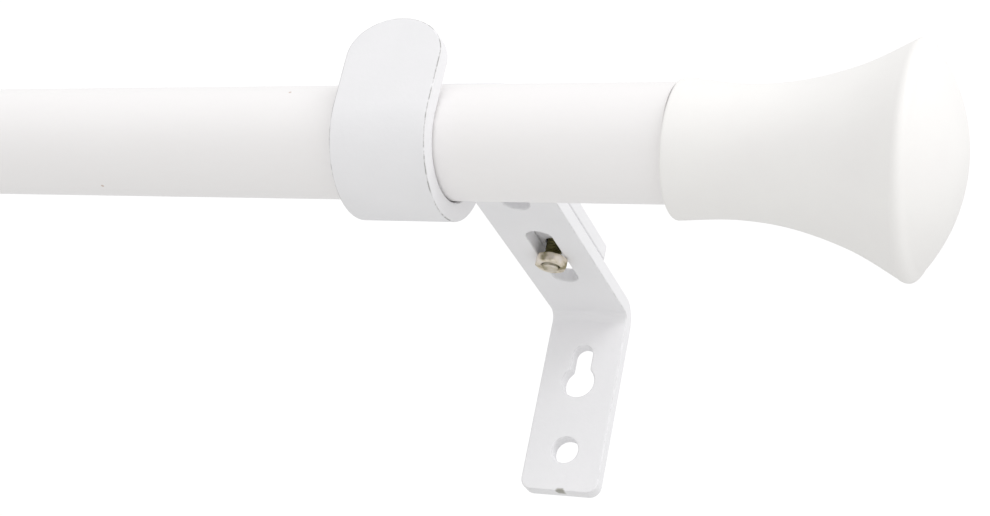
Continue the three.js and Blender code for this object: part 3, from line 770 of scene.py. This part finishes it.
def hook_bar(side):
    """The hook of one bracket: a tail on the arm, a bend down, half a turn under the rod and a tongue."""
    node = f"{side}_hook_strip"
    low, high = span(node)
    hook_radius = ROD_Y - low[1]
    middle_hook = hook_radius - BAR / 2
    middle_radius = BEND_RADIUS + BAR / 2
    axis_z = low[2] + hook_radius
    tail = high[1] - ROD_Y - hook_radius - BEND_RADIUS
    drop = high[2] - BAR - BEND_RADIUS - axis_z
    runs = [
        (tail, None),
        (middle_radius * np.pi / 2, middle_radius),
        (drop, None),
        (middle_hook * np.pi, -middle_hook),
        (TONGUE_HEIGHT, None),
    ]
    half_width = (high[0] - low[0]) / 2
    screw_low, screw_high = span(f"{side}_clamp_screw")
    clamp_hole = slot_hole(
        high[1] - (screw_low[1] + screw_high[1]) / 2, 2 * CLAMP_HOLE_RADIUS, CLAMP_HOLE_RADIUS)
    shell = bent_bar(
        (low[0] + high[0]) / 2, half_width, (high[1], high[2] - BAR / 2), np.pi, runs,
        corner_end(half_width), oval_end(half_width), [clamp_hole], HOOK_BAR_WEAR, worn_from=tail + drop)
    make_piece(f"{side}_rod_hook", shell, node)


# ---- Clamp screw, washer and nut ----------------------------------------------------------------------


def pan_screw(side):
    """A cross-recess pan-head machine screw: a rolled thread below a head with a crowned top.

    The shank's radius is the screw's less thread(). The crown is half an ellipse, and the recess sinks it
    where min(|x|, |y|) and max(|x|, |y|) lie inside the cross, with tapered walls and a pointed bottom.
    """
    node = f"{side}_clamp_screw"
    low, high = span(node)
    head_radius = (high[0] - low[0]) / 2
    place = ((low[0] + high[0]) / 2, (low[1] + high[1]) / 2, 0)
    shoulder = high[2] - HEAD_HEIGHT
    angle = circle(SCREW_STEPS)

    rows = np.arange(low[2], shoulder, SCREW_PITCH / THREAD_STEPS)[:, None]
    entry = np.clip((rows - low[2]) / SCREW_CHAMFER, 0, 1)
    runout = smooth_step((shoulder - rows) / THREAD_RUNOUT)
    groove = thread(rows, angle, SCREW_PITCH, SCREW_THREAD_DEPTH) * runout
    shank = np.minimum(SCREW_RADIUS - groove, SCREW_RADIUS - SCREW_CHAMFER * (1 - entry))
    tip = np.linspace(0, 1, 4)[:, None] * shank[:1]
    collar = eased([
        (shoulder, SCREW_RADIUS), (shoulder, head_radius), (shoulder + HEAD_HEIGHT / 2, head_radius)],
        HEAD_EDGE, closed=False)

    ring = np.linspace(0, np.pi / 2, 44)[:, None]
    crown = head_radius * np.cos(ring)
    across = np.abs(crown * np.cos(angle))
    beside = np.abs(crown * np.sin(angle))
    narrow, wide = np.minimum(across, beside), np.maximum(across, beside)
    room = np.minimum(RECESS_HALF_WIDTH - narrow, RECESS_REACH - wide)
    depth = RECESS_DEPTH * (1 - RECESS_TAPER * wide / RECESS_REACH)
    sink = smooth_step(room / RECESS_WALL + 0.5) * depth
    top = shoulder + HEAD_HEIGHT / 2 + HEAD_HEIGHT / 2 * np.sin(ring) - sink

    shell = Shell("oiled")
    blocks = [(low[2], tip), (rows, shank), (collar[:, :1], collar[:, 1:]), (top, crown)]
    skin = np.concatenate([upright(height, radius, angle, place) for height, radius in blocks])
    # Painted shade: the shank below the head is marked fully and the end partly, so the finish paints them
    # dark olive for the shade round them.
    off_tip = TIP_SHADE + (1 - TIP_SHADE) * smooth_step(skin[..., 2] - low[2])
    oiled = smooth_step(2 * (shoulder - skin[..., 2])) * off_tip
    shell.grid(skin, close_columns=True, oiled=oiled)
    make_piece(f"{side}_pan_screw", shell, node)


def spring_washer(side):
    """A split spring washer: a square wire wound once round, its two cut ends sprung a little apart."""
    node = f"{side}_lock_washer"
    low, high = span(node)
    outer = (high[1] - low[1]) / 2
    bore = CLAMP_HOLE_RADIUS
    thickness = high[2] - low[2]
    place = ((low[0] + high[0]) / 2, (low[1] + high[1]) / 2, (low[2] + high[2]) / 2)
    half_gap = WASHER_GAP / 2 / outer
    section = eased([
        (-thickness / 2, bore), (-thickness / 2, outer), (thickness / 2, outer), (thickness / 2, bore)],
        WASHER_EDGE)
    angle = np.linspace(half_gap, 2 * np.pi - half_gap, SCREW_STEPS)[:, None]
    spring = WASHER_SPRING * (angle / np.pi - 1) / 2
    shell = Shell()
    wire = upright(section[None, :, 0] * (1 - WASHER_SPRING) + spring, section[None, :, 1], angle, place)
    shell.grid(wire, close_columns=True)
    for end in (wire[0], wire[-1]):
        fill = np.linspace(0, 1, 3)[:, None, None]
        shell.grid(end.mean(0) + fill * (end - end.mean(0)), close_columns=True)
    make_piece(f"{side}_spring_washer", shell, node)


def hex_nut(side):
    """A hexagon nut, forged and tapped: corners cut back by a 30 degree cone, countersunk at both faces.

    With apothem a, the side at angle q is at a / cos(q folded into +-30 degrees), and its top drops by
    the distance past a times tan 30 degrees.
    """
    node = f"{side}_clamp_nut"
    low, high = span(node)
    apothem = (high[1] - low[1]) / 2
    half_height = (high[2] - low[2]) / 2
    place = ((low[0] + high[0]) / 2, (low[1] + high[1]) / 2, (low[2] + high[2]) / 2)
    angle = circle(NUT_STEPS)
    folded = np.mod(angle, np.pi / 3) - np.pi / 6
    near_corner = smooth_step((np.abs(folded) - np.radians(24)) / np.radians(6))
    side_radius = apothem / np.cos(folded) - NUT_CORNER_ROUND * near_corner
    cone = math.tan(NUT_CHAMFER)
    face_radius = apothem - NUT_FACE_MARGIN
    side_top = half_height - (side_radius - face_radius) * cone
    full = np.ones_like(angle)
    sink = NUT_COUNTERSINK
    upper = [
        (NUT_BORE_RADIUS * full, (half_height - sink) * full),
        ((NUT_BORE_RADIUS + sink) * full, half_height * full),
        ((NUT_BORE_RADIUS + sink + 0.08) * full, half_height * full),
        ((face_radius - 0.08) * full, half_height * full),
        (face_radius * full, (half_height - 0.01) * full),
        (side_radius - NUT_EDGE, side_top + NUT_EDGE * cone),
        (side_radius, side_top - 0.04),
        (side_radius, side_top - 2 * NUT_EDGE),
    ]
    radius = np.concatenate([row[0] for row in upper] + [row[0] for row in upper[::-1]])
    height = np.concatenate([row[1] for row in upper] + [-row[1] for row in upper[::-1]])
    shell = Shell()
    shell.grid(upright(height, radius, angle, place), close_rows=True, close_columns=True)
    make_piece(f"{side}_hex_nut", shell, node)


# ---- Rod ----------------------------------------------------------------------------------------------


def rod_tube(name, node, wall):
    """A thin steel tube, sawn square and deburred, turned from its wall's section."""
    low, high = span(node)
    outer = (high[2] - low[2]) / 2
    section = eased([
        (low[0], outer - wall), (low[0], outer), (high[0], outer), (high[0], outer - wall)], CUT_EDGE)
    shell = Shell()
    points = lying(section[:, :1], section[:, 1:], circle(TUBE_STEPS))
    shell.grid(points, close_rows=True, close_columns=True)
    make_piece(name, shell, node)


def bushing(name, node, head_at_low, head, head_radius, spigot_radius, bore):
    """A stepped moulded bush: a spigot pushed into one tube and a head that guides or rims the other."""
    low, high = span(node)
    step = low[0] + head if head_at_low else high[0] - head
    radii = (head_radius, spigot_radius) if head_at_low else (spigot_radius, head_radius)
    section = eased([
        (low[0], bore), (low[0], radii[0]), (step, radii[0]), (step, radii[1]), (high[0], radii[1]),
        (high[0], bore)], BUSH_EDGE)
    shell = Shell()
    points = lying(section[:, :1], section[:, 1:], circle(BUSH_STEPS))
    shell.grid(points, close_rows=True, close_columns=True)
    make_piece(name, shell, node)


def through(points, steps):
    """A smooth curve through points: Catmull-Rom cubics with uniform spacing, steps to each span."""
    points = np.array(points, float)
    padded = np.concatenate([points[:1], points, points[-1:]])
    p0, p1, p2, p3 = (padded[i:len(points) - 1 + i][:, None] for i in range(4))
    t = np.linspace(0, 1, steps, endpoint=False)[None, :, None]
    v1, v2 = (p2 - p0) / 2, (p3 - p1) / 2
    curve = p1 + v1 * t + (3 * (p2 - p1) - 2 * v1 - v2) * t ** 2 + (2 * (p1 - p2) + v1 + v2) * t ** 3
    return np.concatenate([curve.reshape(-1, 2), points[-1:]])


def trumpet(side):
    """A finial: a neck against the tube's end that flares to a soft rim and a domed face.

    The flare is one smooth curve, the rim a parabola between it and the face, and the face part of a ball.
    """
    waist = FINIAL_BASE_RADIUS - FINIAL_WAIST_DROP
    stop = FINIAL_FLARE - FINIAL_RIM_ROUND
    rise = FINIAL_RIM_RADIUS - waist
    flare = through([
        (FINIAL_BASE_EDGE, FINIAL_BASE_RADIUS),
        *((reach * FINIAL_FLARE, waist + share * rise) for reach, share in FLARE_SHAPE),
        (stop, FINIAL_RIM_RADIUS - FINIAL_RIM_ROUND / 2),
    ], 14)
    corner = np.linspace(np.pi, np.pi / 2, 8)[:-1]
    base_edge = np.stack([
        FINIAL_BASE_EDGE + FINIAL_BASE_EDGE * np.cos(corner),
        FINIAL_BASE_RADIUS - FINIAL_BASE_EDGE + FINIAL_BASE_EDGE * np.sin(corner)], 1)
    t = np.linspace(0, 1, 9)[1:, None]
    rim = (
        (1 - t) ** 2 * np.array([stop, FINIAL_RIM_RADIUS - FINIAL_RIM_ROUND / 2])
        + 2 * t * (1 - t) * np.array([FINIAL_FLARE, FINIAL_RIM_RADIUS + FINIAL_RIM_ROUND / 4])
        + t ** 2 * np.array([FINIAL_FLARE + FINIAL_RIM_ROUND / 2, FINIAL_RIM_RADIUS - FINIAL_RIM_ROUND]))
    face_radius = FINIAL_RIM_RADIUS - FINIAL_RIM_ROUND
    face_rise = FINIAL_DOME - FINIAL_RIM_ROUND / 2
    ball = (face_radius ** 2 + face_rise ** 2) / (2 * face_rise)
    swing = np.linspace(math.asin(face_radius / ball), 0, 28)[1:]
    face = np.stack([
        FINIAL_FLARE + FINIAL_RIM_ROUND / 2 + face_rise - ball + ball * np.cos(swing),
        ball * np.sin(swing)], 1)
    bore = STUD_RADIUS + SEATED
    stud_hole = eased([
        (STUD_IN_FINIAL, 0), (STUD_IN_FINIAL, bore), (0, bore),
        (0, FINIAL_BASE_RADIUS - FINIAL_BASE_EDGE)], STUD_HOLE_EDGE, closed=False)
    profile = np.concatenate([stud_hole[:-1], base_edge, flare, rim, face])
    shell = Shell()
    skin = hanging(side, PLUG_LENGTH + profile[:, :1], profile[:, 1:], circle(TUBE_STEPS))
    shell.grid(skin, close_columns=True)
    make_piece(f"{side}_trumpet", shell, f"{side}_finial")


def threaded_stud(side):
    """A stud with a rolled thread from end to end and a chamfer at each end."""
    length = STUD_IN_PLUG + STUD_IN_FINIAL - SEATED
    angle = circle(STUD_STEPS)
    rows = np.linspace(0, length, round(length / STUD_PITCH * THREAD_STEPS))[:, None]
    entry = np.clip(np.minimum(rows, length - rows) / STUD_CHAMFER, 0, 1)
    groove = thread(rows, angle, STUD_PITCH, STUD_THREAD_DEPTH)
    body = np.minimum(STUD_RADIUS - groove, STUD_RADIUS - STUD_CHAMFER * (1 - entry))
    fill = np.linspace(0, 1, 3)[:, None]
    rows = np.concatenate([np.zeros_like(fill), rows, np.full_like(fill, length)])
    radius = np.concatenate([fill * body[:1], body, fill[::-1] * body[-1:]])
    shell = Shell()
    shell.grid(hanging(side, PLUG_LENGTH - STUD_IN_PLUG + rows, radius, angle), close_columns=True)
    make_piece(f"{side}_threaded_stud", shell, f"{side}_finial_stud")


def ribbed_plug(side, wall):
    """A plug with ribs, slit crosswise at its inner end so that the stud spreads it in the tube.

    At angle q the barrel's radius is the core's plus the rib height times a smooth pulse of cos(ribs q),
    and everywhere under a cone that narrows by the droop towards the finial. In the slits, where the
    distance across is under half a slit's width, it drops almost to the bore.
    """
    low, high = span(END_TUBE[side])
    bore = STUD_RADIUS + SEATED
    end = PLUG_LENGTH - SEATED
    grip = (high[2] - low[2]) / 2 - wall - SEATED
    mouth = grip - end * math.tan(DROOP)
    core = mouth - PLUG_RIB_HEIGHT
    section = eased([(0, bore), (0, core), (end, core), (end, bore)], PLUG_EDGE)
    along = np.linspace(1, end - 1, 17)[:, None]
    barrel = np.concatenate([along, np.full_like(along, core)], 1)
    split = np.argmax(section[:, 0] > end / 2)
    section = np.concatenate([section[:split], barrel, section[split:]])
    angle = circle(PLUG_STEPS)
    cone = grip - section[:, :1] * math.tan(DROOP)
    on_barrel = section[:, 1:] > core - 0.02
    pulse = smooth_step((np.cos(angle * PLUG_RIBS) - PLUG_RIB_START) / PLUG_RIB_SLOPE)
    from_end = np.minimum(section[:, :1], end - section[:, :1])
    ends = smooth_step(from_end / PLUG_RIB_END)
    radius = section[:, 1:] + on_barrel * pulse * ends * (cone - core)
    turn = angle - np.pi / PLUG_RIBS
    across = np.minimum(np.abs(np.sin(turn)), np.abs(np.cos(turn))) * radius
    in_slit = smooth_step((PLUG_SLIT_WIDTH / 2 - across) / PLUG_SLIT_WALL + 0.5)
    in_slit = in_slit * smooth_step((PLUG_SLIT_DEPTH - section[:, :1]) / PLUG_SLIT_FLOOR)
    radius = radius - in_slit * np.maximum(radius - bore - PLUG_SLIT_FLOOR, 0)
    shell = Shell()
    shell.grid(hanging(side, section[:, :1], radius, angle), close_rows=True, close_columns=True)
    make_piece(f"{side}_ribbed_plug", shell, f"{side}_finial_plug")


# ---- The set ------------------------------------------------------------------------------------------

for side in ("right", "left"):
    wall_bar(side)
    hook_bar(side)
    pan_screw(side)
    spring_washer(side)
    hex_nut(side)
    trumpet(side)
    threaded_stud(side)

rod_tube("rod_tube", "outer_tube", TUBE_WALL)
rod_tube("extension_tube", "inner_tube", EXTENSION_WALL)
ribbed_plug("right", TUBE_WALL)
ribbed_plug("left", EXTENSION_WALL)

tube_bore = TUBE_RADIUS - TUBE_WALL
extension_low, extension_high = span("inner_tube")
extension_bore = (extension_high[2] - extension_low[2]) / 2 - EXTENSION_WALL
bushing("mouth_bushing", "mouth_bush", True, MOUTH_BUSH_RIM, TUBE_RADIUS, tube_bore - BUSH_PRESS_FIT,
        MOUTH_BUSH_BORE)
bushing("tail_bushing", "tail_bush", False, TAIL_BUSH_HEAD, tube_bore - BUSH_SLIDE_FIT,
        extension_bore - BUSH_PRESS_FIT, TAIL_BUSH_BORE)

# ---- Studio -------------------------------------------------------------------------------------------

FLOOR_HEIGHT = -0.36  # metres, like all places in this part
FLOOR_HALF = 4.0
ROOM_LIGHT = 0.825
ROOM_SEEN = 1.05
LIGHT_AIM = (0, -0.08, 0)
LIGHT_SIZE = 0.9
CAMERA_PLACE = (0.1235, -0.3244, -0.1204)
CAMERA_TURNS = (113.45, -10.90, 19.07)  # degrees about X, Y and Z
CAMERA_LENS = 63.3
CAMERA_SHIFT = (-0.0227, 0.0329)


def pale_floor():
    """A wide, flat, pale floor below the camera."""
    mesh = bpy.data.meshes.new("studio_floor")
    corners = [(-1, -1), (1, -1), (1, 1), (-1, 1)]
    mesh.from_pydata([(FLOOR_HALF * x, FLOOR_HALF * y, FLOOR_HEIGHT) for x, y in corners], [], [(0, 1, 2, 3)])
    material, tree, place = new_finish("floor_paint_pale", Roughness=0.8)
    cloud = add(tree, "ShaderNodeTexNoise", {"Scale": per_metre(400)}, {"Vector": place})
    body = add(tree, "ShaderNodeMix",
               {MIX_A: linear("#e9e9e8"), MIX_B: linear("#e5e5e4")},
               {"Factor": cloud.outputs["Fac"]}, data_type="RGBA")
    tree.links.new(body.outputs[MIX_RESULT], tree.nodes["Principled BSDF"].inputs["Base Color"])
    mesh.materials.append(material)
    floor = bpy.data.objects.new("studio_floor", mesh)
    bpy.context.scene.collection.objects.link(floor)


def soft_box(name, place, power):
    """A square soft white light at place, turned to the bracket."""
    light = bpy.data.lights.new(name, "AREA")
    light.shape = "SQUARE"
    light.size = LIGHT_SIZE
    light.energy = power
    lamp = bpy.data.objects.new(name, light)
    lamp.location = place
    lamp.rotation_euler = (Vector(LIGHT_AIM) - Vector(place)).to_track_quat("-Z", "Y").to_euler()
    bpy.context.scene.collection.objects.link(lamp)


def white_sky():
    """An even white room: the camera sees plain white, and the light it gives is a little lower."""
    world = bpy.data.worlds.new("white_room")
    bpy.context.scene.world = world
    world.use_nodes = True
    tree = world.node_tree
    tree.nodes.clear()
    lit = add(tree, "ShaderNodeBackground", {"Color": linear("#ffffff"), "Strength": ROOM_LIGHT})
    seen = add(tree, "ShaderNodeBackground", {"Color": linear("#ffffff"), "Strength": ROOM_SEEN})
    path = add(tree, "ShaderNodeLightPath")
    both = add(tree, "ShaderNodeMixShader", {}, {
        0: path.outputs["Is Camera Ray"], 1: lit.outputs["Background"], 2: seen.outputs["Background"]})
    add(tree, "ShaderNodeOutputWorld", {}, {"Surface": both.outputs["Shader"]})


def camera():
    """The camera, below and to the right of the bracket, looking up and to the left."""
    view = bpy.data.cameras.new("camera")
    view.lens = CAMERA_LENS
    view.shift_x, view.shift_y = CAMERA_SHIFT
    view.clip_start = 0.01
    seat = bpy.data.objects.new("camera", view)
    seat.location = CAMERA_PLACE
    seat.rotation_euler = Euler([math.radians(turn) for turn in CAMERA_TURNS])
    bpy.context.scene.collection.objects.link(seat)
    bpy.context.scene.camera = seat


pale_floor()
soft_box("key_light", (0.83, -0.80, 1.0), 6.6)
soft_box("front_light", (0.35, -1.55, 0.35), 2.1)
soft_box("side_light", (1.9, -0.5, 0.25), 2.2)
white_sky()
camera()
bpy.context.scene.view_settings.view_transform = "Standard"
